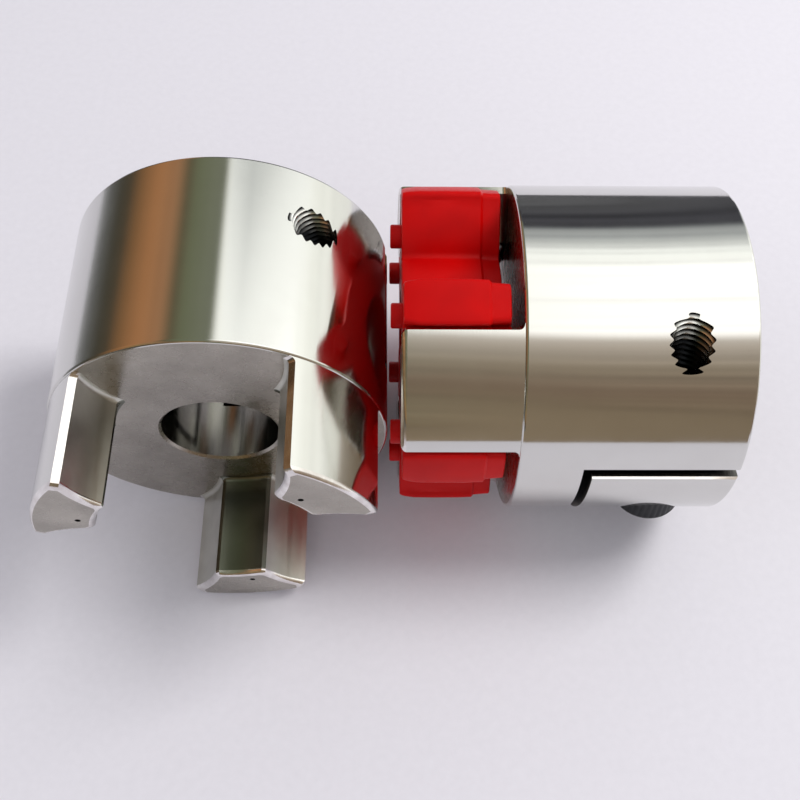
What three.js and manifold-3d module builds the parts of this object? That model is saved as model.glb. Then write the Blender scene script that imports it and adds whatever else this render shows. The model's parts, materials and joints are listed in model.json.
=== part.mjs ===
// Clamp-type jaw coupling, pulled apart and lying on its side.
// Two identical split clamp hubs with three jaws each, one six-lobed elastic spider, and
// one clamp screw in each hub. Millimetres, +Z up. Hub B lies along +X with its jaws
// pointing to -X and carries the spider. Hub A lies beside the spider with its jaws
// pointing to -Y. Both hubs rest on the plane Z = 0.
import * as THREE from 'three';
import { mergeVertices } from 'three/addons/utils/BufferGeometryUtils.js';
import Module from 'manifold-3d';

const wasm = await Module();
wasm.setup();

// Hub body
const hub_radius = 20;
const body_length = 25.5;
const rim_chamfer = 0.35;
const bore_radius = 7;
const bore_chamfer = 0.3;

// Jaws: three on each hub, with hollow flanks
const jaw_count = 3;
const jaw_length = 13.3;
const jaw_outer_radius = 19.8;
const jaw_inner_radius = 12.8;
const jaw_outer_half_angle = THREE.MathUtils.degToRad(23.5);
const jaw_inner_half_angle = THREE.MathUtils.degToRad(13.8);
const flank_hollow = 0.6;
const slit_to_jaw = THREE.MathUtils.degToRad(30.8);

// Clamp: a lengthwise slit, a cross cut that frees the ear, and a tangential screw
const slit_width = 1.5;
const cross_cut_depth = 7.5;
const cross_cut_width = 1.2;
const cross_cut_past_axis = 2;
const screw_offset = 13.4;
const screw_depth = 18;
const screw_seat = 7.3;
const running_gap = 0.3;

// Clamp screw: M5 socket head cap screw
const shank_radius = 2.5;
const shank_length = 16;
const head_radius = 4.25;
const head_height = 5;
const head_chamfer = 0.3;
const socket_across_flats = 4;
const socket_depth = 2.5;

// Spider
const spider_width = 12;
const spider_radius = 19.8;
const spider_bore_radius = 7;
const spider_face_gap = 1.2;
const lobe_count = 6;
const nub_radius = 1.45;
const nub_height = 1.2;
const nub_circle_radius = 13.9;

// Where the pieces lie
const hub_a_roll = THREE.MathUtils.degToRad(7.4);
const hub_b_roll = THREE.MathUtils.degToRad(11.2);
const hub_a_face_y = -12.2;
const spider_to_hub_a = 0.3;

const round_segments = 96;
const small_segments = 32;
const cut_margin = 1;

const aluminium = new THREE.MeshStandardMaterial({
  color: 0xc9c8c4, metalness: 1, roughness: 0.22,
});
const black_steel = new THREE.MeshStandardMaterial({
  color: 0x23262a, metalness: 0.7, roughness: 0.45,
});
const red_polyurethane = new THREE.MeshStandardMaterial({
  color: 0xc4161a, metalness: 0, roughness: 0.4,
});

// Solids ---------------------------------------------------------------------------------

function toSolid(geometry) {
  const bare = geometry.clone();
  bare.deleteAttribute('normal');
  bare.deleteAttribute('uv');
  const merged = mergeVertices(bare, 1e-4);
  return new wasm.Manifold(new wasm.Mesh({
    numProp: 3,
    vertProperties: new Float32Array(merged.attributes.position.array),
    triVerts: new Uint32Array(merged.index.array),
  }));
}

function toMesh(name, solid, material) {
  const result = solid.getMesh();
  const geometry = new THREE.BufferGeometry();
  geometry.setAttribute('position', new THREE.BufferAttribute(result.vertProperties, 3));
  geometry.setIndex(new THREE.BufferAttribute(result.triVerts, 1));
  geometry.computeVertexNormals();
  const mesh = new THREE.Mesh(geometry, material);
  mesh.name = name;
  return mesh;
}

// A body of revolution about Z from [radius, z] points
function turned(profile, segments) {
  const points = profile.map(([radius, z]) => new THREE.Vector2(radius, z));
  const geometry = new THREE.LatheGeometry(points, segments);
  geometry.rotateX(Math.PI / 2);
  return toSolid(geometry);
}

function cylinder(radius, length, segments) {
  const geometry = new THREE.CylinderGeometry(radius, radius, length, segments);
  return toSolid(geometry);
}

// A box from its lowest to its highest corner
function block(low, high) {
  const geometry = new THREE.BoxGeometry(high[0] - low[0], high[1] - low[1], high[2] - low[2]);
  geometry.translate((low[0] + high[0]) / 2, (low[1] + high[1]) / 2, (low[2] + high[2]) / 2);
  return toSolid(geometry);
}

function extruded(shape, depth, z) {
  const geometry = new THREE.ExtrudeGeometry(shape, { depth, bevelEnabled: false, steps: 1 });
  geometry.translate(0, 0, z);
  return toSolid(geometry);
}

// Jaw section ----------------------------------------------------------------------------

// Each flank is a circular arc through the jaw's inner and outer corner, hollow by
// flank_hollow at its middle.
function polar(radius, angle) {
  return new THREE.Vector2(radius * Math.cos(angle), radius * Math.sin(angle));
}

const flank_inner = polar(jaw_inner_radius, jaw_inner_half_angle);
const flank_outer = polar(jaw_outer_radius, jaw_outer_half_angle);
const flank_chord = flank_outer.clone().sub(flank_inner);
const flank_radius = flank_chord.lengthSq() / (8 * flank_hollow) + flank_hollow / 2;
const flank_normal = new THREE.Vector2(-flank_chord.y, flank_chord.x).normalize();
const flank_centre = flank_inner.clone().add(flank_outer).multiplyScalar(0.5)
  .addScaledVector(flank_normal, flank_radius - flank_hollow);

// The flank's angle from the jaw's middle at a radius, with a clearance outside the flank
function flankAngle(radius, clearance) {
  const reach = flank_radius - clearance;
  const distance = flank_centre.length();
  const cosine = (radius ** 2 + distance ** 2 - reach ** 2) / (2 * radius * distance);
  return flank_centre.angle() - Math.acos(cosine);
}

function jawShape(inner_radius, outer_radius, clearance) {
  const flank_steps = 8;
  const arc_steps = 10;
  const flank = [];
  for (let i = 0; i <= flank_steps; i += 1) {
    const radius = inner_radius + (outer_radius - inner_radius) * i / flank_steps;
    flank.push([radius, flankAngle(radius, clearance)]);
  }
  const outline = flank.map(([radius, angle]) => polar(radius, -angle));
  const outer_angle = flankAngle(outer_radius, clearance);
  for (let i = 1; i < arc_steps; i += 1) {
    outline.push(polar(outer_radius, outer_angle * (2 * i / arc_steps - 1)));
  }
  flank.reverse().forEach(([radius, angle]) => outline.push(polar(radius, angle)));
  const inner_angle = flankAngle(inner_radius, clearance);
  for (let i = 1; i < arc_steps; i += 1) {
    outline.push(polar(inner_radius, inner_angle * (1 - 2 * i / arc_steps)));
  }
  return new THREE.Shape(outline);
}

// Hub ------------------------------------------------------------------------------------

// The hub stands on its axis, with the jaw face at z = 0 and the slit along +x. The screw
// runs along y and its head is on the -y side.
function hubSolid() {
  let hub = turned([
    [bore_radius, bore_chamfer - body_length],
    [bore_radius + bore_chamfer, -body_length],
    [hub_radius - rim_chamfer, -body_length],
    [hub_radius, rim_chamfer - body_length],
    [hub_radius, -rim_chamfer],
    [hub_radius - rim_chamfer, 0],
    [bore_radius + bore_chamfer, 0],
    [bore_radius, -bore_chamfer],
    [bore_radius, bore_chamfer - body_length],
  ], round_segments);

  const jaw_root = 2;
  const jaw = extruded(
    jawShape(jaw_inner_radius, jaw_outer_radius, 0), jaw_length + jaw_root, -jaw_root,
  );
  for (let i = 0; i < jaw_count; i += 1) {
    const turn = THREE.MathUtils.radToDeg(slit_to_jaw) + i * 360 / jaw_count;
    hub = hub.add(jaw.rotate([0, 0, turn]));
  }

  const outside = hub_radius + cut_margin;
  const slit = block(
    [0, -slit_width / 2, -body_length - cut_margin],
    [outside, slit_width / 2, -cross_cut_depth],
  );
  const cross_cut = block(
    [-cross_cut_past_axis, -outside, -cross_cut_depth - cross_cut_width],
    [outside, slit_width / 2, -cross_cut_depth],
  );
  const screw_hole = cylinder(shank_radius + running_gap, 2 * outside, small_segments)
    .translate([screw_offset, 0, -screw_depth]);
  const counterbore_length = outside - screw_seat;
  const counterbore = cylinder(head_radius + running_gap, counterbore_length, small_segments)
    .translate([screw_offset, -screw_seat - counterbore_length / 2, -screw_depth]);

  return hub.subtract(slit).subtract(cross_cut).subtract(screw_hole).subtract(counterbore);
}

// Clamp screw ----------------------------------------------------------------------------

// The screw stands on its axis, with the underside of its head at z = 0, the head above
// it and the shank below.
function screwSolid() {
  const screw = turned([
    [0, -shank_length],
    [shank_radius - head_chamfer, -shank_length],
    [shank_radius, head_chamfer - shank_length],
    [shank_radius, 0],
    [head_radius, 0],
    [head_radius, head_height - head_chamfer],
    [head_radius - head_chamfer, head_height],
    [0, head_height],
  ], small_segments);
  const corner_radius = socket_across_flats / Math.sqrt(3);
  const socket = cylinder(corner_radius, 2 * socket_depth, 6)
    .rotate([90, 0, 0])
    .translate([0, 0, head_height]);
  return screw.subtract(socket);
}

// Spider ---------------------------------------------------------------------------------

// The spider shares the frame of the hub that carries it, so its lobes stand between the
// six jaw places. A small round nub on the open end of each lobe keeps it off the other hub.
function spiderSolid() {
  let spider = turned([
    [spider_bore_radius, spider_face_gap],
    [spider_radius, spider_face_gap],
    [spider_radius, spider_face_gap + spider_width],
    [spider_bore_radius, spider_face_gap + spider_width],
    [spider_bore_radius, spider_face_gap],
  ], round_segments);
  const socket = extruded(
    jawShape(jaw_inner_radius - running_gap, spider_radius + cut_margin, running_gap),
    spider_width + 2 * cut_margin, spider_face_gap - cut_margin,
  );
  const nub_length = spider_width / 2 + nub_height;
  const nub = cylinder(nub_radius, nub_length, small_segments)
    .rotate([90, 0, 0])
    .translate([nub_circle_radius, 0, spider_face_gap + (spider_width + nub_length) / 2]);
  for (let i = 0; i < lobe_count; i += 1) {
    const jaw_turn = THREE.MathUtils.radToDeg(slit_to_jaw) + i * 360 / lobe_count;
    spider = spider.subtract(socket.rotate([0, 0, jaw_turn]));
  }
  for (let i = 0; i < lobe_count; i += 1) {
    const lobe_turn = THREE.MathUtils.radToDeg(slit_to_jaw) + (i + 0.5) * 360 / lobe_count;
    spider = spider.add(nub.rotate([0, 0, lobe_turn]));
  }
  return spider;
}

// Assembly -------------------------------------------------------------------------------

const hub_geometry = hubSolid();
const screw_geometry = screwSolid();

function clampHub(side) {
  const unit = new THREE.Group();
  unit.add(toMesh(`hub_${side}`, hub_geometry, aluminium));
  const screw = toMesh(`clamp_screw_${side}`, screw_geometry, black_steel);
  screw.position.set(screw_offset, -screw_seat - running_gap, -screw_depth);
  screw.rotation.x = Math.PI / 2;
  unit.add(screw);
  return unit;
}

const hub_a = clampHub('a');
const hub_b = clampHub('b');
const spider = toMesh('spider', spiderSolid(), red_polyurethane);

hub_b.add(spider);
hub_b.rotation.set(0, -Math.PI / 2, hub_b_roll - Math.PI / 2);
hub_b.position.set(0, 0, hub_radius);

const spider_end = spider_face_gap + spider_width + nub_height;
hub_a.rotation.set(Math.PI / 2, 0, hub_a_roll);
hub_a.position.set(-spider_end - spider_to_hub_a - hub_radius, hub_a_face_y, hub_radius);

const coupling = new THREE.Group();
coupling.add(hub_a, hub_b);

// The origin is the middle of the underside of the whole layout
coupling.updateMatrixWorld(true);
const extent = new THREE.Box3().setFromObject(coupling, true);
const middle = extent.getCenter(new THREE.Vector3());
coupling.position.set(-middle.x, -middle.y, -extent.min.z);

export default coupling;
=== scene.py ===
import json
import math

import bpy
from mathutils import Matrix, Vector


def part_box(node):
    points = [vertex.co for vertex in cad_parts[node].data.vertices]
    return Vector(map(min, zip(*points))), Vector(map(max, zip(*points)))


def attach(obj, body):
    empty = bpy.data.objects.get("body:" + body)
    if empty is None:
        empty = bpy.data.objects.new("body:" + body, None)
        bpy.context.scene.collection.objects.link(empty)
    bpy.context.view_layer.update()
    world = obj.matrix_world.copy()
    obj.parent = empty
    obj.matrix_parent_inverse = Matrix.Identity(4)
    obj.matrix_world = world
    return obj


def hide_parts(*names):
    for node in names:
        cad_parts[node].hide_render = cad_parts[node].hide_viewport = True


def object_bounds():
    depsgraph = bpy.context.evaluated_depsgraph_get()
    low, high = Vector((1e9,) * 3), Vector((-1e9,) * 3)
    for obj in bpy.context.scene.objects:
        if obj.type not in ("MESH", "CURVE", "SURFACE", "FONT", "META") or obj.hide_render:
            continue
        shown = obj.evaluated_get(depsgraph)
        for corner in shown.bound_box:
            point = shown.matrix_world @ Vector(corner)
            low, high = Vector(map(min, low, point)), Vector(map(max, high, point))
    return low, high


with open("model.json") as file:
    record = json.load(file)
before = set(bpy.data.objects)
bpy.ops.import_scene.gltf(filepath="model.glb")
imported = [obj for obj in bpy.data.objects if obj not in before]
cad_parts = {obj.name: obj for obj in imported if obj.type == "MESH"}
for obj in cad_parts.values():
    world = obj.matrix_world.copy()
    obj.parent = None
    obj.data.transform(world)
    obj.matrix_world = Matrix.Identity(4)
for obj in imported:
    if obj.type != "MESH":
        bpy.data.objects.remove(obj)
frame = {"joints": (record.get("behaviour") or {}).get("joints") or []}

cad_box = [list(corner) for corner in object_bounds()]

# The object: a clamp-type jaw coupling, pulled apart. Mesh code below works in millimetres,
# in each piece's own frame, and new_piece() scales it to metres.
MM = 0.001

# Sizes are in millimetres and degrees. A hub's frame has its jaw face at z = 0, its jaws along +z,
# its slit along +x and its clamp ear on the -y side.

# Hub body
BODY_LENGTH = 25.5
HUB_RADIUS = 20.0
BORE_RADIUS = 7.0
RIM_EDGE = 0.35
BORE_CHAMFER = 0.3

# Jaws, and the edges broken along their flanks, backs and tips
JAW_COUNT = 3
JAW_LENGTH = 13.3
JAW_ROOT_DEPTH = 2.0
JAW_OUTER_RADIUS = 19.8
JAW_INNER_RADIUS = 12.8
JAW_OUTER_HALF_ANGLE = 23.5
JAW_INNER_HALF_ANGLE = 13.8
FLANK_HOLLOW = 0.6
SLIT_TO_JAW = 30.8
TIP_EDGE = 0.65
TIP_BACK_EDGE = 0.4
JAW_EDGE = 0.81
JAW_BACK_EDGE = 0.93
JAW_INNER_EDGE = 0.35
ROOT_FILLET = 0.6
TIP_DOT_RADIUS = 0.4
TIP_DOT_DEPTH = 0.3
TIP_DOT_PLACE = (14.6, 1.1)

# Slit, cross cut and the clamp screw's hole
SLIT_WIDTH = 1.5
SLIT_CHAMFER_DEPTH = 0.3
CROSS_CUT_DEPTH = 7.5
CROSS_CUT_WIDTH = 1.2
CROSS_CUT_PAST_AXIS = 2.0
SCREW_OFFSET = 13.4
SCREW_DEPTH = 18.0
SCREW_SEAT = 7.3
SCREW_CLEARANCE = 0.3
TAP_CLEARANCE = 0.05

# Thread, as a ridge that is cut off flat at its crest and its root
THREAD_PITCH = 0.8
THREAD_MAJOR = 2.5
THREAD_MINOR = 2.08
THREAD_PEAK = 1.15
THREAD_SLOPE = 1.3

# Clamp screw
SHANK_LENGTH = 16.0
SHANK_CLEARANCE = 0.1
HEAD_RADIUS = 4.25
HEAD_HEIGHT = 5.0
KNURL_DEPTH = 0.12
SOCKET_ACROSS_FLATS = 4.0
SOCKET_DEPTH = 2.5

# Spider
SPIDER_WIDTH = 12.0
SPIDER_RADIUS = 19.8
SPIDER_BORE_RADIUS = 7.0
SPIDER_BORE_EDGE = 0.3
SPIDER_FACE_GAP = 1.2
LOBE_COUNT = 6
LOBE_CLEARANCE = 0.12
LOBE_ROUNDING = 0.62
VALLEY_CLEARANCE = 0.3
FACE_RELIEF = 0.15
NUB_RADIUS = 1.45
NUB_HEIGHT = 1.2
NUB_EDGE = 0.2
NUB_CIRCLE_RADIUS = 13.9

# How far a cutting tool reaches past what it cuts
MARGIN = 1.0

# How finely curves are cut
ROUND_POINTS = 288
SCREW_POINTS = 108
RIM_STEPS = 4
TIP_STEPS = 4
FILLET_STEPS = 6
FLANK_STEPS = 10
OUTER_STEPS = 16
INNER_STEPS = 10
LOBE_FLANK_STEPS = 8
LOBE_ROUNDING_STEPS = 4
NUB_POINTS = 40
TIP_DOT_POINTS = 16


# Meshes ---------------------------------------------------------------------------------------

# Marks a gap between rings whose faces take their material from the strip that they lie in
BY_STRIP = -1

# How squarely a face has to look along z to be shaded flat
ALONG_AXIS = 0.9999


def new_piece(name, points, faces, slots, face_slots):
    """An object from points in millimetres, with one material slot for each name in slots."""
    mesh = bpy.data.meshes.new(name)
    mesh.from_pydata([Vector(point) * MM for point in points], [], faces)
    for slot in slots:
        mesh.materials.append(material(slot))
    mesh.polygons.foreach_set("material_index", face_slots)
    mesh.update()
    piece = bpy.data.objects.new(name, mesh)
    bpy.context.scene.collection.objects.link(piece)
    return piece


def loft(name, rings, slots, ring_slots=0, strip_slots=None, cap_slot=None, joined=False):
    """A closed skin over rings with the same number of points.

    The first and last ring are capped, or joined to each other when joined is True. ring_slots
    is one material index, or one for each gap between rings. A gap marked BY_STRIP takes its
    indices from strip_slots, one for each point of a ring. Caps are milled unless cap_slot says
    otherwise.
    """
    count = len(rings[0])
    gaps = len(rings) if joined else len(rings) - 1
    points = [point for ring in rings for point in ring]
    faces = []
    face_slots = []
    for gap in range(gaps):
        low = gap * count
        high = (gap + 1) % len(rings) * count
        slot = ring_slots if isinstance(ring_slots, int) else ring_slots[gap]
        for i in range(count):
            j = (i + 1) % count
            faces.append((low + i, low + j, high + j, high + i))
            face_slots.append(strip_slots[i] if slot == BY_STRIP else slot)
    if not joined:
        faces.append(tuple(reversed(range(count))))
        faces.append(tuple(range(len(points) - count, len(points))))
        face_slots += [MILLED if cap_slot is None else cap_slot] * 2
    return new_piece(name, points, faces, slots, face_slots)


def ring(radius, z, count):
    """A circle about Z."""
    turns = [math.tau * i / count for i in range(count)]
    return [(radius * math.cos(turn), radius * math.sin(turn), z) for turn in turns]


def block(name, low, high, slot):
    """A box from its lowest to its highest corner, as a cutting tool."""
    rings = [[(low[0], low[1], z), (high[0], low[1], z), (high[0], high[1], z), (low[0], high[1], z)]
             for z in (low[2], high[2])]
    return loft(name, rings, HUB_SLOTS, slot, cap_slot=slot)


def place(piece, matrix):
    """Moves a tool's points by a matrix in millimetres."""
    scaled = matrix.copy()
    scaled.translation = scaled.translation * MM
    piece.data.transform(scaled)
    return piece


def combine(piece, steps):
    """Applies boolean steps of (operation, tool) to a piece, and deletes the tools."""
    for operation, tool in steps:
        modifier = piece.modifiers.new(operation.lower(), "BOOLEAN")
        modifier.operation = operation
        modifier.solver = "MANIFOLD"
        modifier.object = tool
    graph = bpy.context.evaluated_depsgraph_get()
    mesh = bpy.data.meshes.new_from_object(piece.evaluated_get(graph))
    piece.modifiers.clear()
    piece.data = mesh
    for operation, tool in steps:
        bpy.data.objects.remove(tool)
    return piece


def smooth(piece, round_slots, flat_slots, angle):
    """Smooth shading up to an angle, exact normals on turned slots, and flat ones on cut slots."""
    mesh = piece.data
    mesh.shade_smooth()
    mesh.set_sharp_from_angle(angle=math.radians(angle))
    normals = []
    for polygon in mesh.polygons:
        slot = polygon.material_index
        flat = slot in flat_slots or abs(polygon.normal.z) > ALONG_AXIS
        centre = Vector((polygon.center.x, polygon.center.y, 0)).normalized()
        outward = polygon.normal.dot(centre)
        for vertex in polygon.vertices:
            point = mesh.vertices[vertex].co
            if slot in round_slots and not flat:
                radial = Vector((point.x, point.y, 0)).normalized() * outward
                normals.append((radial + Vector((0, 0, polygon.normal.z))).normalized())
            elif flat:
                normals.append(polygon.normal.copy())
            else:
                normals.append(Vector((0, 0, 0)))
    mesh.normals_split_custom_set(normals)
    return piece


# Materials ------------------------------------------------------------------------------------

# Holds each point's place in its piece's own frame, in metres, before the piece is rolled
OWN_PLACE = "own_place"


def node(tree, kind, inputs=None, **settings):
    """A shader node with its settings, and its inputs set or linked."""
    made = tree.nodes.new(kind)
    for name, value in settings.items():
        setattr(made, name, value)
    for name, value in (inputs or {}).items():
        if isinstance(value, bpy.types.NodeSocket):
            tree.links.new(value, made.inputs[name])
        else:
            made.inputs[name].default_value = value
    return made


def calculate(tree, operation, *values):
    """The result of a math node on numbers or sockets."""
    return node(tree, "ShaderNodeMath", dict(enumerate(values)), operation=operation).outputs[0]


def linear(red, green, blue):
    """A colour in linear light from display values, where 255 is white and more is brighter."""
    channels = []
    for value in (red, green, blue):
        share = value / 255
        channels.append(share / 12.92 if share <= 0.04045 else ((share + 0.055) / 1.055) ** 2.4)
    return (*channels, 1)


def new_material(name, metallic, roughness, **sockets):
    """A material with a Principled shader. Returns the material, its tree and the shader."""
    made = bpy.data.materials.new(name)
    made.use_nodes = True
    shader = made.node_tree.nodes["Principled BSDF"]
    shader.inputs["Metallic"].default_value = metallic
    shader.inputs["Roughness"].default_value = roughness
    for socket, value in sockets.items():
        shader.inputs[socket.replace("_", " ")].default_value = value
    return made, made.node_tree, shader


def wire(tree, shader, **sockets):
    """Links patterns to the shader's sockets, named with _ for a space."""
    for socket, pattern in sockets.items():
        tree.links.new(pattern, shader.inputs[socket.replace("_", " ")])


def noise(tree, scale, stretch=(1, 1, 1), detail=3, roughness=0.5):
    """Noise in the object's space, its grain multiplied along each axis. Returns the factor."""
    place_in = node(tree, "ShaderNodeTexCoord").outputs["Object"]
    mapping = node(tree, "ShaderNodeMapping", {"Vector": place_in, "Scale": stretch})
    made = node(tree, "ShaderNodeTexNoise", {
        "Vector": mapping.outputs["Vector"], "Scale": scale, "Detail": detail, "Roughness": roughness,
    })
    return made.outputs["Fac"]


def spread(tree, factor, low, high, from_low=0.3, from_high=0.7):
    """Maps a factor, by default the usual range of noise, to the range from low to high."""
    return node(tree, "ShaderNodeMapRange", {
        "Value": factor, "From Min": from_low, "From Max": from_high, "To Min": low, "To Max": high,
    }).outputs["Result"]


def distance_from(tree, point, axes):
    """How far the surface is from a point in the piece's own frame, along the given axes."""
    place_in = node(tree, "ShaderNodeAttribute", attribute_name=OWN_PLACE).outputs["Vector"]
    offset = node(tree, "ShaderNodeVectorMath", {0: place_in, 1: point}, operation="SUBTRACT")
    kept = node(tree, "ShaderNodeVectorMath", {0: offset.outputs[0], 1: axes}, operation="MULTIPLY")
    return node(tree, "ShaderNodeVectorMath", {0: kept.outputs[0]}, operation="LENGTH").outputs["Value"]


def tint(tree, factor, dark, light):
    """A colour between two, by a factor."""
    made = node(tree, "ShaderNodeMix", {"Factor": factor}, data_type="RGBA")
    made.inputs[6].default_value = dark
    made.inputs[7].default_value = light
    return made.outputs[2]


def bump(tree, height, strength, distance):
    """A normal that follows a height pattern."""
    return node(tree, "ShaderNodeBump", {
        "Height": height, "Strength": strength, "Distance": distance,
    }).outputs["Normal"]


def turned_aluminium():
    """Bright turned skin: fine grooves round the axis spread reflections along it."""
    made, tree, shader = new_material("turned_aluminium", 1, 0.11, Anisotropic=0.95)
    grooves = noise(tree, 12, stretch=(1, 1, 1500), detail=4)
    patches = noise(tree, 260, detail=2)
    tangent = node(tree, "ShaderNodeTangent", direction_type="RADIAL", axis="Z")
    wire(tree, shader,
         Base_Color=tint(tree, patches, linear(210, 209, 206), linear(218, 218, 215)),
         Roughness=spread(tree, patches, 0.1, 0.13),
         Normal=bump(tree, grooves, 0.12, 0.00002),
         Tangent=tangent.outputs["Tangent"])
    shader.inputs["Anisotropic Rotation"].default_value = 0.25
    return made


def milled_aluminium():
    """Cutter-marked faces, duller than the turned skin."""
    made, tree, shader = new_material("milled_aluminium", 1, 0.26)
    marks = noise(tree, 500, stretch=(1, 1, 0.25), detail=4, roughness=0.6)
    clouds = spread(tree, noise(tree, 150, detail=4), 0, 1)
    wire(tree, shader,
         Base_Color=tint(tree, clouds, linear(158, 153, 145), linear(184, 179, 170)),
         Roughness=spread(tree, marks, 0.2, 0.34),
         Normal=bump(tree, marks, 0.03, 0.00003))
    return made


def side_milled_aluminium():
    """Jaw flanks, cut smooth by the side of a cutter that ran along the jaw."""
    made, tree, shader = new_material("side_milled_aluminium", 1, 0.27)
    lines = noise(tree, 900, stretch=(1, 1, 0.06), detail=4, roughness=0.6)
    clouds = spread(tree, noise(tree, 200, detail=4), 0, 1)
    wire(tree, shader,
         Base_Color=tint(tree, clouds, linear(190, 190, 182), linear(210, 210, 202)),
         Roughness=spread(tree, lines, 0.3, 0.4),
         Normal=bump(tree, lines, 0.03, 0.00002))
    return made


def jaw_inside_aluminium():
    """The jaws' inner faces, bored out, with a darker base colour as painted shade."""
    made, tree, shader = new_material("jaw_inside_aluminium", 1, 0.26)
    clouds = spread(tree, noise(tree, 200, detail=4), 0, 1)
    # Painted shade: a darker base colour than the other milled faces of the same aluminium.
    wire(tree, shader, Base_Color=tint(tree, clouds, linear(112, 114, 104), linear(134, 136, 126)))
    return made


def edge_aluminium():
    """Freshly broken edges, bright and smooth."""
    made, tree, shader = new_material("edge_aluminium", 1, 0.16)
    nicks = noise(tree, 600, detail=4)
    wire(tree, shader,
         Base_Color=tint(tree, spread(tree, nicks, 0, 1), linear(214, 208, 206), linear(244, 242, 240)),
         Normal=bump(tree, nicks, 0.15, 0.00004))
    return made


def bored_aluminium():
    """The bore's wall, with reamer lines along its length."""
    made, tree, shader = new_material("bored_aluminium", 1, 0.14)
    lines = noise(tree, 60, stretch=(40, 40, 1))
    wire(tree, shader,
         Base_Color=tint(tree, lines, linear(194, 193, 190), linear(212, 211, 208)),
         Roughness=spread(tree, lines, 0.1, 0.18))
    return made


def sawn_aluminium():
    """Walls of the slit and the cross cut: rough, with painted shade below the rim and painted light at the
    open end.
    """
    made, tree, shader = new_material("sawn_aluminium", 1, 0.45)
    marks = noise(tree, 900, stretch=(1, 1, 8), detail=4)
    # Painted shade: the walls go near black away from the rim, with painted light near the rim and near the
    # open end.
    from_axis = distance_from(tree, (0, 0, 0), (1, 1, 0))
    rim = spread(tree, from_axis, 0, 1, (HUB_RADIUS - 0.9) * MM, (HUB_RADIUS - 0.1) * MM)
    from_end = distance_from(tree, (0, 0, -BODY_LENGTH * MM), (0, 0, 1))
    open_end = spread(tree, from_end, 0.8, 0, 0, 2.6 * MM)
    marks_in_painted_light = calculate(tree, "MULTIPLY", marks, calculate(tree, "MAXIMUM", rim, open_end))
    wire(tree, shader,
         Base_Color=tint(tree, marks_in_painted_light, linear(26, 27, 29), linear(190, 186, 180)),
         Normal=bump(tree, marks, 0.4, 0.00005))
    return made


def threaded_aluminium():
    """The tapped hole, with painted light on its crests near the mouth and painted shade in its grooves and
    deeper in.
    """
    made, tree, shader = new_material("threaded_aluminium", 1, 0.24)
    grime = noise(tree, 700)
    # Painted shade in the thread's roots and deeper in the hole, and painted light on the crests near the
    # mouth; the grime noise only varies the tone.
    from_screw = distance_from(tree, (SCREW_OFFSET * MM, 0, -SCREW_DEPTH * MM), (1, 0, 1))
    crest = spread(tree, from_screw, 1, 0, THREAD_MINOR * MM, (THREAD_MINOR + 0.35) * MM)
    from_axis = distance_from(tree, (0, 0, 0), (1, 1, 0))
    mouth = spread(tree, from_axis, 0, 1, (HUB_RADIUS - 3.2) * MM, (HUB_RADIUS - 0.6) * MM)
    painted_light = calculate(tree, "MULTIPLY", crest, mouth)
    grime_and_painted_light = calculate(tree, "MULTIPLY_ADD", grime, 0.75, painted_light)
    shade = calculate(tree, "MULTIPLY", grime_and_painted_light, painted_light)
    wire(tree, shader, Base_Color=tint(tree, shade, linear(20, 21, 23), linear(230, 230, 228)))
    return made


def black_oxide():
    """Blackened steel with a faint oily mottle."""
    made, tree, shader = new_material("black_oxide", 0.75, 0.4)
    mottle = noise(tree, 650, detail=4)
    wire(tree, shader,
         Base_Color=tint(tree, spread(tree, mottle, 0, 1), linear(24, 25, 27), linear(46, 48, 51)),
         Roughness=spread(tree, mottle, 0.32, 0.5),
         Normal=bump(tree, mottle, 0.2, 0.00003))
    return made


def red_polyurethane():
    """Moulded elastomer with a soft satin skin."""
    made, tree, shader = new_material("red_polyurethane", 0, 0.5, Subsurface_Weight=0.2,
                                      Subsurface_Radius=(0.0015, 0.0003, 0.0003),
                                      Subsurface_Scale=1.0, Specular_IOR_Level=0.18)
    clouds = spread(tree, noise(tree, 160), 0, 1)
    grain = noise(tree, 2600)
    wire(tree, shader,
         Base_Color=tint(tree, clouds, linear(188, 1, 2), linear(206, 2, 2)),
         Roughness=spread(tree, grain, 0.34, 0.46),
         Normal=bump(tree, grain, 0.12, 0.00003))
    return made


MATERIAL_MAKERS = {
    maker.__name__: maker
    for maker in (turned_aluminium, milled_aluminium, bored_aluminium, sawn_aluminium,
                  threaded_aluminium, edge_aluminium, side_milled_aluminium, jaw_inside_aluminium,
                  black_oxide, red_polyurethane)
}


def material(name):
    """The material of that name, made on first use."""
    return bpy.data.materials.get(name) or MATERIAL_MAKERS[name]()


HUB_SLOTS = ("turned_aluminium", "milled_aluminium", "bored_aluminium", "sawn_aluminium",
             "threaded_aluminium", "edge_aluminium", "side_milled_aluminium",
             "jaw_inside_aluminium")
TURNED, MILLED, BORED, SAWN, THREADED, EDGE, FLANK, INSIDE = range(len(HUB_SLOTS))


# Jaw section ----------------------------------------------------------------------------------

def polar(radius, angle):
    """A point of the section from its radius and its angle in radians."""
    return Vector((radius * math.cos(angle), radius * math.sin(angle)))


FLANK_INNER = polar(JAW_INNER_RADIUS, math.radians(JAW_INNER_HALF_ANGLE))
FLANK_OUTER = polar(JAW_OUTER_RADIUS, math.radians(JAW_OUTER_HALF_ANGLE))
FLANK_CHORD = FLANK_OUTER - FLANK_INNER
FLANK_RADIUS = FLANK_CHORD.length_squared / (8 * FLANK_HOLLOW) + FLANK_HOLLOW / 2
FLANK_CENTRE = ((FLANK_INNER + FLANK_OUTER) / 2
                + Vector((-FLANK_CHORD.y, FLANK_CHORD.x)).normalized() * (FLANK_RADIUS - FLANK_HOLLOW))


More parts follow.
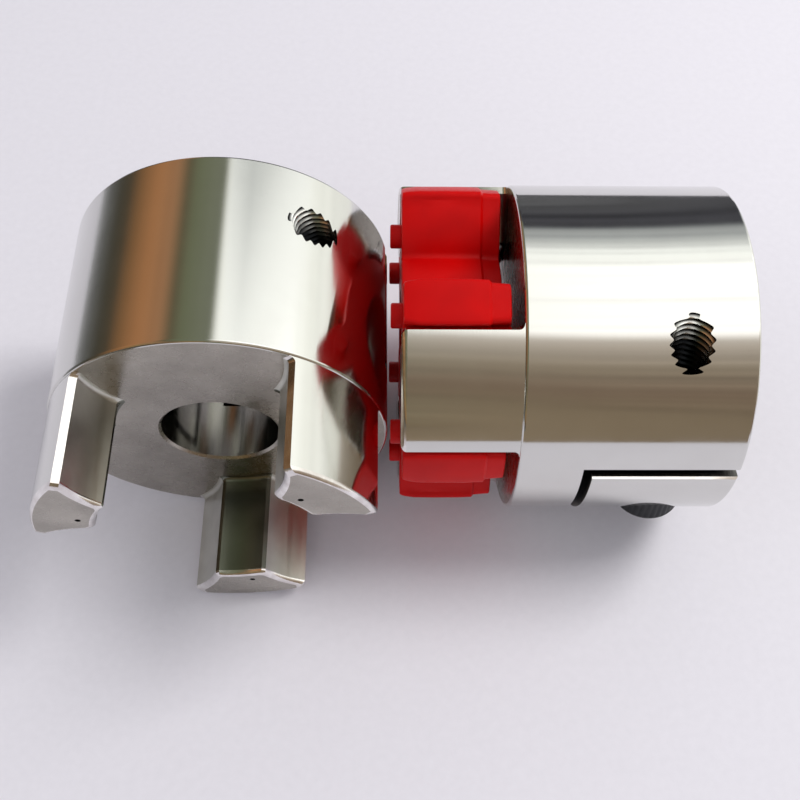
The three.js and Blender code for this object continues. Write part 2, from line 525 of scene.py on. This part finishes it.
def flank_angle(radius, clearance):
    """The flank's angle from the jaw's middle at a radius. The flank is a hollow arc."""
    reach = FLANK_RADIUS - clearance
    distance = FLANK_CENTRE.length
    cosine = (radius ** 2 + distance ** 2 - reach ** 2) / (2 * radius * distance)
    return math.atan2(FLANK_CENTRE.y, FLANK_CENTRE.x) - math.acos(cosine)


def jaw_side(inset, outer_inset):
    """One side of the jaw's section, from its inner edge up the flank and chamfered onto its back."""
    inner = JAW_INNER_RADIUS + inset
    outer = JAW_OUTER_RADIUS - outer_inset
    low = inner + JAW_INNER_EDGE
    high = outer - JAW_EDGE
    flank = [low + (high - low) * i / FLANK_STEPS for i in range(FLANK_STEPS + 1)]
    side = [polar(radius, flank_angle(radius, -inset)) for radius in flank]
    side.append(polar(outer, flank_angle(outer, -inset) - JAW_BACK_EDGE / outer))
    return side


def jaw_outline(inset, outer_inset):
    """The jaw's section, drawn in by inset, with its long outer edges chamfered."""
    side = jaw_side(inset, outer_inset)
    back_radius = side[-1].length
    back_angle = math.atan2(side[-1].y, side[-1].x)
    inner = JAW_INNER_RADIUS + inset
    inner_angle = flank_angle(inner, -inset) - JAW_INNER_EDGE / inner
    outline = [Vector((point.x, -point.y)) for point in side]
    outline += [polar(back_radius, back_angle * (2 * i / OUTER_STEPS - 1)) for i in range(1, OUTER_STEPS)]
    outline += reversed(side)
    outline += [polar(inner, inner_angle * (1 - 2 * i / INNER_STEPS)) for i in range(INNER_STEPS + 1)]
    return outline


def jaw_strips():
    """The material index of each strip round the jaw, in the order of its outline."""
    strips = [FLANK] * FLANK_STEPS + [EDGE]
    strips += [TURNED] * OUTER_STEPS
    strips += [EDGE] + [FLANK] * FLANK_STEPS
    strips += [INSIDE] * (INNER_STEPS + 2)
    return strips


def jaw_tool(turn):
    """One jaw with a filleted root and a rounded tip, turned about Z by degrees."""
    # Each level as (z, how far the section is drawn in, how far its back is drawn in)
    levels = [(-JAW_ROOT_DEPTH, -ROOT_FILLET, 0)]
    for i in range(FILLET_STEPS + 1):
        sweep = math.pi / 2 * i / FILLET_STEPS
        levels.append((ROOT_FILLET * (1 - math.cos(sweep)), ROOT_FILLET * (math.sin(sweep) - 1), 0))
    gap_slots = [BY_STRIP] * len(levels) + [EDGE] * TIP_STEPS
    for i in range(TIP_STEPS + 1):
        sweep = math.pi / 2 * i / TIP_STEPS
        rounding = 1 - math.cos(sweep)
        levels.append((JAW_LENGTH - TIP_EDGE * (1 - math.sin(sweep)), TIP_EDGE * rounding,
                       TIP_BACK_EDGE * rounding))
    rings = [[(point.x, point.y, z) for point in jaw_outline(inset, outer_inset)]
             for z, inset, outer_inset in levels]
    jaw = loft("jaw", rings, HUB_SLOTS, gap_slots, jaw_strips())
    return place(jaw, Matrix.Rotation(math.radians(turn), 4, "Z"))


# Threads --------------------------------------------------------------------------------------

def thread_rings(major, minor, start, end, count, rows_per_pitch=6):
    """Rings of a right-hand screw thread about Z, from start to end."""
    rows = max(2, round((end - start) / THREAD_PITCH * rows_per_pitch))
    rings = []
    for row in range(rows + 1):
        z = start + (end - start) * row / rows
        points = []
        for i in range(count):
            share = i / count
            phase = (z / THREAD_PITCH - share) % 1
            height = min(1, max(0, THREAD_PEAK - abs(2 * phase - 1) * THREAD_SLOPE))
            radius = minor + (major - minor) * height
            points.append((radius * math.cos(math.tau * share), radius * math.sin(math.tau * share), z))
        rings.append(points)
    return rings


# Puts a tool made about Z on the clamp screw's line, its z along y
ALONG_SCREW = (Matrix.Translation((SCREW_OFFSET, 0, -SCREW_DEPTH))
               @ Matrix.Rotation(math.radians(-90), 4, "X"))


# Hub ------------------------------------------------------------------------------------------

def hub_blank():
    """The turned body: a thick tube with softened rims, jaw face at z = 0.

    Each step of the profile holds the material of the skin that runs on from it.
    """
    profile = []
    for i in range(RIM_STEPS):
        sweep = math.pi / 2 * i / RIM_STEPS
        profile.append((HUB_RADIUS - RIM_EDGE * (1 - math.sin(sweep)),
                        RIM_EDGE * (1 - math.cos(sweep)) - BODY_LENGTH, TURNED))
    profile.append((HUB_RADIUS, RIM_EDGE - BODY_LENGTH, TURNED))
    for i in range(RIM_STEPS):
        sweep = math.pi / 2 * i / RIM_STEPS
        profile.append((HUB_RADIUS - RIM_EDGE * (1 - math.cos(sweep)),
                        RIM_EDGE * (math.sin(sweep) - 1), TURNED))
    profile += [
        (HUB_RADIUS - RIM_EDGE, 0, MILLED),
        (BORE_RADIUS + BORE_CHAMFER, 0, MILLED),
        (BORE_RADIUS, -BORE_CHAMFER, BORED),
        (BORE_RADIUS, BORE_CHAMFER - BODY_LENGTH, MILLED),
        (BORE_RADIUS + BORE_CHAMFER, -BODY_LENGTH, MILLED),
    ]
    rings = [ring(radius, z, ROUND_POINTS) for radius, z, slot in profile]
    slots = [slot for radius, z, slot in profile]
    return loft("hub", rings, HUB_SLOTS, slots, joined=True)


def cylinder_tool(name, radius, start, end, count, slot):
    """A round tool on the clamp screw's line, from start to end along y."""
    tool = loft(name, [ring(radius, start, count), ring(radius, end, count)], HUB_SLOTS, slot)
    return place(tool, ALONG_SCREW)


def tapped_tool():
    """The screw thread that runs out through the hub's skin."""
    rings = thread_rings(THREAD_MAJOR + TAP_CLEARANCE, THREAD_MINOR, SHANK_LENGTH - SCREW_SEAT,
                         HUB_RADIUS, count=72, rows_per_pitch=8)
    return place(loft("tapped", rings, HUB_SLOTS, THREADED), ALONG_SCREW)


def slit_chamfer():
    """A shallow wedge that takes the sharp edges off the slit, widest at the ear's open end."""
    depth = HUB_RADIUS - SLIT_CHAMFER_DEPTH
    outside = HUB_RADIUS + SLIT_CHAMFER_DEPTH
    half_slit = SLIT_WIDTH / 2
    overlap = 0.02
    far_width = 0.2
    # How far the wedge cuts into the ear, at each z
    ear_widths = ((-BODY_LENGTH - MARGIN, 1.3), (3.5 - BODY_LENGTH, 0.4), (-CROSS_CUT_DEPTH, 0.3))
    rings = [[(depth, overlap - half_slit, z), (outside, -half_slit - ear_width, z),
              (outside, half_slit + far_width, z), (depth, half_slit - overlap, z)]
             for z, ear_width in ear_widths]
    return loft("slit_chamfer", rings, HUB_SLOTS, EDGE)


def tip_dots():
    """A small centre mark near the inner edge of each jaw's tip."""
    tools = []
    for i in range(JAW_COUNT):
        turn = math.radians(SLIT_TO_JAW + i * 360 / JAW_COUNT)
        cone = [ring(TIP_DOT_RADIUS / 10, JAW_LENGTH - TIP_DOT_DEPTH, TIP_DOT_POINTS),
                ring(TIP_DOT_RADIUS, JAW_LENGTH + TIP_DOT_DEPTH / 5, TIP_DOT_POINTS)]
        tool = loft("dot", cone, HUB_SLOTS, SAWN)
        shift = Matrix.Translation((*TIP_DOT_PLACE, 0))
        tools.append(place(tool, Matrix.Rotation(turn, 4, "Z") @ shift))
    return tools


def make_hub():
    """The whole hub in its own frame."""
    hub = hub_blank()
    outside = HUB_RADIUS + MARGIN
    shank_end = SHANK_LENGTH - SCREW_SEAT + 0.2
    steps = [("UNION", jaw_tool(SLIT_TO_JAW + i * 360 / JAW_COUNT)) for i in range(JAW_COUNT)]
    tools = [
        block("slit", (0, -SLIT_WIDTH / 2, -BODY_LENGTH - MARGIN),
              (outside, SLIT_WIDTH / 2, -CROSS_CUT_DEPTH), SAWN),
        block("cross_cut", (-CROSS_CUT_PAST_AXIS, -outside, -CROSS_CUT_DEPTH - CROSS_CUT_WIDTH),
              (outside, SLIT_WIDTH / 2, -CROSS_CUT_DEPTH), SAWN),
        slit_chamfer(),
        cylinder_tool("shank_hole", THREAD_MAJOR + SCREW_CLEARANCE, -SCREW_SEAT - MARGIN, shank_end,
                      64, SAWN),
        cylinder_tool("counterbore", HEAD_RADIUS + SCREW_CLEARANCE, -outside, -SCREW_SEAT, 96, SAWN),
        tapped_tool(),
        *tip_dots(),
    ]
    steps += [("DIFFERENCE", tool) for tool in tools]
    combine(hub, steps)
    return smooth(hub, (TURNED, BORED), (SAWN,), angle=25)


# Clamp screw ----------------------------------------------------------------------------------

def hexagon(across_flats, z, count):
    """A hexagon about Z with its points spread evenly by angle."""
    points = []
    for i in range(count):
        turn = math.tau * i / count
        past_flat = (turn + math.pi / 6) % (math.pi / 3) - math.pi / 6
        radius = across_flats / 2 / math.cos(past_flat)
        points.append((radius * math.cos(turn), radius * math.sin(turn), z))
    return points


def knurled(radius, z, count):
    """A circle whose every third point stands in a shallow knurl groove."""
    points = []
    for i in range(count):
        depth = KNURL_DEPTH if i % 3 == 0 else 0
        turn = math.tau * i / count
        points.append(((radius - depth) * math.cos(turn), (radius - depth) * math.sin(turn), z))
    return points


def make_screw():
    """A socket head cap screw on its axis, the head's underside at z = 0."""
    shank = THREAD_MAJOR - SHANK_CLEARANCE
    thread_start = 0.35 - SHANK_LENGTH
    thread_end = -1.2
    socket_floor = HEAD_HEIGHT - SOCKET_DEPTH
    # Each stretch of the profile as (radius, z)
    tip = [(0.6, -SHANK_LENGTH), (THREAD_MINOR - 0.15, -SHANK_LENGTH)]
    neck = [(shank, -0.8), (shank, -0.15), (THREAD_MAJOR + 0.1, 0)]
    head = [(HEAD_RADIUS - 0.2, 0), (HEAD_RADIUS, 0.2), (HEAD_RADIUS, 0.45)]
    crown = [(HEAD_RADIUS - 0.05, HEAD_HEIGHT - 0.4), (HEAD_RADIUS - 0.15, HEAD_HEIGHT - 0.12),
             (HEAD_RADIUS - 0.4, HEAD_HEIGHT), (SOCKET_ACROSS_FLATS / 2 + 0.4, HEAD_HEIGHT)]
    rings = [ring(radius, z, SCREW_POINTS) for radius, z in tip]
    rings += thread_rings(shank, THREAD_MINOR - SHANK_CLEARANCE, thread_start, thread_end, SCREW_POINTS)
    rings += [ring(radius, z, SCREW_POINTS) for radius, z in neck + head]
    rings += [knurled(HEAD_RADIUS, z, SCREW_POINTS) for z in (0.6, HEAD_HEIGHT - 0.6)]
    rings += [ring(radius, z, SCREW_POINTS) for radius, z in crown]
    rings += [hexagon(SOCKET_ACROSS_FLATS, z, SCREW_POINTS) for z in (HEAD_HEIGHT - 0.25, socket_floor)]
    rings.append(ring(0.3, socket_floor - 0.5, SCREW_POINTS))
    screw = loft("screw", rings, ("black_oxide",), cap_slot=0)
    screw.data.shade_smooth()
    screw.data.set_sharp_from_angle(angle=math.radians(35))
    return screw


# Spider ---------------------------------------------------------------------------------------

def rounded(outline, corners, reach, steps):
    """An outline with each listed corner replaced by a smooth curve."""
    result = []
    for i, corner in enumerate(outline):
        if i not in corners:
            result.append(corner)
            continue
        before = outline[i - 1]
        after = outline[(i + 1) % len(outline)]
        start = corner + (before - corner).normalized() * reach
        end = corner + (after - corner).normalized() * reach
        for step in range(steps + 1):
            share = step / steps
            result.append(start * (1 - share) ** 2 + corner * 2 * share * (1 - share)
                          + end * share ** 2)
    return result


def spider_outline(inset):
    """The spider's outer edge, lobe by lobe, drawn in by inset."""
    outer = SPIDER_RADIUS - inset
    inner = JAW_INNER_RADIUS - VALLEY_CLEARANCE - inset
    clearance = LOBE_CLEARANCE + inset
    half_step = math.pi / LOBE_COUNT
    widest = JAW_OUTER_RADIUS - JAW_EDGE - LOBE_CLEARANCE
    radii = [inner + (outer - inner) * i / LOBE_FLANK_STEPS for i in range(LOBE_FLANK_STEPS + 1)]
    half_angles = [half_step - flank_angle(min(radius, widest), clearance) for radius in radii]
    flank = list(zip(radii, half_angles))
    half_valley = half_step - half_angles[0]
    outline = []
    corners = set()
    for lobe in range(LOBE_COUNT):
        middle = math.radians(SLIT_TO_JAW) + half_step + lobe * 2 * half_step
        corners.add(len(outline))
        outline += [polar(radius, middle - angle) for radius, angle in flank]
        corners.add(len(outline) - 1)
        outline += [polar(outer, middle + half_angles[-1] * share) for share in (-0.6, -0.3, 0, 0.3, 0.6)]
        corners.add(len(outline))
        outline += [polar(radius, middle + angle) for radius, angle in reversed(flank)]
        corners.add(len(outline) - 1)
        outline += [polar(inner, middle + half_step + half_valley * share) for share in (-0.5, 0, 0.5)]
    return rounded(outline, corners, LOBE_ROUNDING, LOBE_ROUNDING_STEPS)


def make_nub(turn, base):
    """A round spacing nub, rooted in a lobe's face at z = base and turned about Z by radians."""
    root = base - 1.0
    top = base + NUB_HEIGHT
    profile = [(NUB_RADIUS, root), (NUB_RADIUS, top - NUB_EDGE), (NUB_RADIUS - 0.06, top - 0.06),
               (NUB_RADIUS - NUB_EDGE, top)]
    rings = [ring(radius, z, NUB_POINTS) for radius, z in profile]
    nub = loft("nub", rings, ("red_polyurethane",), cap_slot=0)
    return place(nub, Matrix.Rotation(turn, 4, "Z") @ Matrix.Translation((NUB_CIRCLE_RADIUS, 0, 0)))


def make_spider():
    """The elastic spider in hub B's frame. Its lobes step in near the hub that they sit in."""
    end = SPIDER_FACE_GAP + SPIDER_WIDTH
    low = SPIDER_FACE_GAP + FACE_RELIEF
    high = end - FACE_RELIEF
    # Each edge as (distance from the face, how far the outline is drawn in)
    seat_edge = [(0, 0.6), (0.12, 0.42), (2.1, 0.3), (2.4, 0.06), (4.5, 0)]
    open_edge = [(0, 0.42), (0.1, 0.28), (0.6, 0.15), (1.8, 0.02), (4, 0)]
    levels = [(low + depth, inset) for depth, inset in seat_edge]
    levels += [(high - depth, inset) for depth, inset in reversed(open_edge)]
    outlines = [[(point.x, point.y, z) for point in spider_outline(inset)] for z, inset in levels]
    bore_profile = ((high, SPIDER_BORE_EDGE), (high - SPIDER_BORE_EDGE, 0),
                    (low + SPIDER_BORE_EDGE, 0), (low, SPIDER_BORE_EDGE))
    bore_rings = []
    for z, flare in bore_profile:
        radius = SPIDER_BORE_RADIUS + flare
        bore_rings.append([(*(Vector(point[:2]).normalized() * radius), z) for point in outlines[0]])
    spider = loft("spider_form", outlines + bore_rings, ("red_polyurethane",), joined=True)
    turns = [math.radians(SLIT_TO_JAW + (i + 0.5) * 360 / LOBE_COUNT) for i in range(LOBE_COUNT)]
    combine(spider, [("UNION", make_nub(turn, end)) for turn in turns])
    return smooth(spider, (), (), angle=28)


# Placing the pieces ---------------------------------------------------------------------------

def joint_axis(name):
    """The direction of a joint's axis in the frame."""
    axis = next(joint["axis"] for joint in frame["joints"] if joint["name"] == name)
    return Vector(axis).normalized()


def square_frame(face, jaws_towards):
    """A frame with its origin on a hub's jaw face and z the way its jaws point, square to the room."""
    z_axis = Vector(jaws_towards)
    y_axis = Vector((0, 0, 1))
    matrix = Matrix((y_axis.cross(z_axis), y_axis, z_axis)).transposed().to_4x4()
    matrix.translation = face
    return matrix


def hub_roll(square, screw_joint):
    """A hub's turn about z in its square frame, from its clamp screw's axis."""
    y_axis = square.to_3x3().inverted() @ -joint_axis(screw_joint)
    return Matrix.Rotation(math.atan2(-y_axis.x, y_axis.y), 4, "Z")


low_a, high_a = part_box("hub_a")
low_b, high_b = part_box("hub_b")
radius = HUB_RADIUS * MM
jaw_reach = JAW_LENGTH * MM
square_a = square_frame(Vector(((low_a.x + high_a.x) / 2, low_a.y + jaw_reach, radius)), (0, -1, 0))
square_b = square_frame(Vector((low_b.x + jaw_reach, (low_b.y + high_b.y) / 2, radius)), (-1, 0, 0))
roll_a = hub_roll(square_a, "clamp_screw_a_turn")
roll_b = hub_roll(square_b, "clamp_screw_b_turn")


def add_piece(name, source, square, local, body):
    """A copy of a finished form, moved by local in a square frame, that rides on its node's body."""
    mesh = source.data.copy()
    places = mesh.attributes.new(OWN_PLACE, "FLOAT_VECTOR", "POINT")
    places.data.foreach_set("vector", [value for vertex in mesh.vertices for value in vertex.co])
    mesh.transform(local)
    piece = bpy.data.objects.new(name, mesh)
    bpy.context.scene.collection.objects.link(piece)
    piece.matrix_world = square
    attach(piece, body)
    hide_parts(body)
    return piece


screw_place = (Matrix.Translation(Vector((SCREW_OFFSET, -SCREW_SEAT - SCREW_CLEARANCE, -SCREW_DEPTH)) * MM)
               @ Matrix.Rotation(math.radians(90), 4, "X"))
hub_form = make_hub()
screw_form = make_screw()
spider_form = make_spider()
for side, square, roll in (("a", square_a, roll_a), ("b", square_b, roll_b)):
    add_piece("fine_hub_" + side, hub_form, square, roll, "hub_" + side)
    add_piece("fine_clamp_screw_" + side, screw_form, square, roll @ screw_place,
              "clamp_screw_" + side)
add_piece("fine_spider", spider_form, square_b, roll_b, "spider")
for form in (hub_form, screw_form, spider_form):
    bpy.data.objects.remove(form)


# Studio ---------------------------------------------------------------------------------------

def make_camera():
    """Looks down on the coupling from the front, as it was seen."""
    elevation = math.radians(60.33)
    azimuth = math.radians(-2.08)
    roll = math.radians(1.92)
    distance = 0.12708
    target = Vector((0.00145, -0.00496, 0.020))
    back = Vector((math.sin(azimuth) * math.cos(elevation), -math.cos(azimuth) * math.cos(elevation),
                   math.sin(elevation)))
    right = Vector((0, 0, 1)).cross(back).normalized()
    up = back.cross(right)
    right, up = (right * math.cos(roll) + up * math.sin(roll), up * math.cos(roll) - right * math.sin(roll))
    data = bpy.data.cameras.new("camera")
    data.lens = 46.75
    data.sensor_width = 36
    data.clip_start = 0.005
    camera = bpy.data.objects.new("camera", data)
    bpy.context.scene.collection.objects.link(camera)
    camera.matrix_world = Matrix((right, up, back)).transposed().to_4x4()
    camera.matrix_world.translation = target + back * distance
    bpy.context.scene.camera = camera


def floor_paper():
    """Pale matt paper."""
    made, tree, shader = new_material("floor_paper", 0, 0.9, Specular_IOR_Level=0.1)
    fibres = noise(tree, 900, detail=4)
    wire(tree, shader,
         Base_Color=tint(tree, fibres, linear(226, 224, 229), linear(233, 231, 236)),
         Normal=bump(tree, fibres, 0.1, 0.0002))
    return made


def lay_sheet(name, low, high, drop, paper):
    """A flat sheet under the coupling, from its low to its high corner in metres."""
    height = cad_box[0][2] - drop
    mesh = bpy.data.meshes.new(name)
    mesh.from_pydata([(low[0], low[1], height), (high[0], low[1], height), (high[0], high[1], height),
                      (low[0], high[1], height)], [], [(0, 1, 2, 3)])
    mesh.materials.append(paper)
    sheet = bpy.data.objects.new(name, mesh)
    bpy.context.scene.collection.objects.link(sheet)
    return sheet


def make_floor():
    """A plain pale floor. The metal mirrors only the part of it close to the coupling."""
    paper = floor_paper()
    lay_sheet("near_floor", low=(-0.15, -0.16), high=(0.17, 0.22), drop=0.0001, paper=paper)
    far = lay_sheet("far_floor", low=(-3, -3), high=(3, 3), drop=0.0002, paper=paper)
    far.visible_glossy = False


def band_ramp(tree, degrees, bands):
    """A colour by angle, from bands of (degrees, colour)."""
    share = calculate(tree, "MULTIPLY_ADD", degrees, 1 / 360, 0.5)
    ramp = node(tree, "ShaderNodeValToRGB", {"Fac": share})
    stops = ramp.color_ramp.elements
    stops.remove(stops[-1])
    stops[0].color = linear(*bands[0][1])
    for angle, colour in bands[1:]:
        stops.new(angle / 360 + 0.5).color = linear(*colour)
    return ramp.outputs["Color"]


def streaked(tree, degrees, bands, fineness, low, high):
    """Bands by angle, with lighter and darker lines along them."""
    share = calculate(tree, "MULTIPLY", degrees, fineness)
    lines = node(tree, "ShaderNodeTexNoise", {"W": share, "Scale": 1.0, "Detail": 3.0},
                 noise_dimensions="1D").outputs["Fac"]
    mixed = node(tree, "ShaderNodeMix", {"Factor": 1.0}, data_type="RGBA", blend_type="MULTIPLY")
    tree.links.new(band_ramp(tree, degrees, bands), mixed.inputs[6])
    tree.links.new(spread(tree, lines, low, high), mixed.inputs[7])
    return mixed.outputs[2]


# Bands of the cards that the metal mirrors, as (degrees, display colour)
BACK_BANDS = [
    (-180, (120, 107, 88)), (-74, (121, 107, 88)), (-61, (111, 95, 80)), (-46, (134, 122, 106)),
    (-32, (172, 162, 150)), (-28, (194, 186, 176)), (-24, (270, 267, 262)), (18, (276, 276, 272)),
    (26, (256, 257, 252)), (31, (242, 244, 239)), (35, (228, 230, 226)), (39, (206, 208, 205)),
    (43, (174, 177, 175)), (47, (150, 153, 153)), (50, (160, 163, 162)), (52, (150, 153, 152)),
    (54, (96, 98, 101)), (56, (64, 64, 69)), (66, (58, 58, 62)), (80, (86, 86, 88)),
    (180, (90, 90, 92)),
]
LEFT_BANDS = [
    (-180, (180, 178, 182)), (-116, (170, 170, 173)), (-97, (84, 84, 82)), (-85, (63, 60, 51)),
    (-76, (70, 62, 49)), (-66, (118, 86, 57)), (-52, (153, 107, 71)), (-38, (144, 106, 76)),
    (-29, (88, 82, 63)), (-22, (98, 102, 80)), (-3, (110, 113, 98)), (2, (238, 239, 232)),
    (12, (274, 275, 269)), (30, (284, 285, 279)), (48, (278, 279, 273)), (66, (236, 237, 229)),
    (180, (180, 178, 182)),
]

# The back bands bend away, by BACK_BEND degrees in all, to either side of a direction along x
BACK_MIDDLE = 0.22
BACK_BEND = 24


def back_wall(tree, across, along):
    """What stands before and behind the table: brown in front, white overhead, dark behind."""
    tilt = calculate(tree, "DEGREES", calculate(tree, "ARCSINE", along))
    aside = calculate(tree, "ABSOLUTE", calculate(tree, "SUBTRACT", across, BACK_MIDDLE))
    bent = calculate(tree, "MULTIPLY_ADD", aside, -BACK_BEND, tilt)
    return streaked(tree, bent, BACK_BANDS, fineness=0.22, low=0.8, high=1.2)


def left_wall(tree, across, up):
    """What stands to the left: dark, orange-brown and olive, with white overhead and to the right."""
    bank = calculate(tree, "DEGREES", calculate(tree, "ARCTAN2", across, up))
    return streaked(tree, bank, LEFT_BANDS, fineness=0.1, low=0.93, high=1.07)


def make_world():
    """A plain pale room for light, and a studio of broad cards for mirror reflections."""
    world = bpy.data.worlds.new("studio")
    world.use_nodes = True
    world.cycles.sampling_method = "NONE"
    bpy.context.scene.world = world
    tree = world.node_tree
    tree.nodes.clear()
    direction = node(tree, "ShaderNodeTexCoord").outputs["Generated"]
    across, along, up = node(tree, "ShaderNodeSeparateXYZ", {"Vector": direction}).outputs
    cards = node(tree, "ShaderNodeMix", {"Factor": 1.0}, data_type="RGBA", blend_type="DARKEN")
    tree.links.new(left_wall(tree, across, up), cards.inputs[6])
    tree.links.new(back_wall(tree, across, along), cards.inputs[7])
    mirror = node(tree, "ShaderNodeBackground", {"Color": cards.outputs[2], "Strength": 1.47})
    plain = node(tree, "ShaderNodeBackground", {"Color": linear(226, 225, 231), "Strength": 0.69})
    glossy = node(tree, "ShaderNodeLightPath").outputs["Is Glossy Ray"]
    mixed = node(tree, "ShaderNodeMixShader", {0: glossy})
    tree.links.new(plain.outputs[0], mixed.inputs[1])
    tree.links.new(mirror.outputs[0], mixed.inputs[2])
    output = node(tree, "ShaderNodeOutputWorld")
    tree.links.new(mixed.outputs[0], output.inputs["Surface"])


def make_light(name, place_at, size, power, colour):
    """A soft square lamp aimed at the coupling, kept out of mirror reflections."""
    data = bpy.data.lights.new(name, "AREA")
    data.size = size
    data.energy = power
    data.color = colour
    lamp = bpy.data.objects.new(name, data)
    bpy.context.scene.collection.objects.link(lamp)
    lamp.location = place_at
    lamp.rotation_mode = "QUATERNION"
    lamp.rotation_quaternion = (-Vector(place_at)).to_track_quat("-Z", "Y")
    lamp.visible_glossy = False


make_camera()
make_floor()
make_world()
make_light("window", place_at=(0.32, 0.1, 0.46), size=0.22, power=1.85, colour=(1, 0.99, 0.98))
make_light("fill", place_at=(-0.7, -0.1, 0.3), size=0.5, power=0.8, colour=(1, 1, 1))
bpy.context.scene.view_settings.view_transform = "Standard"
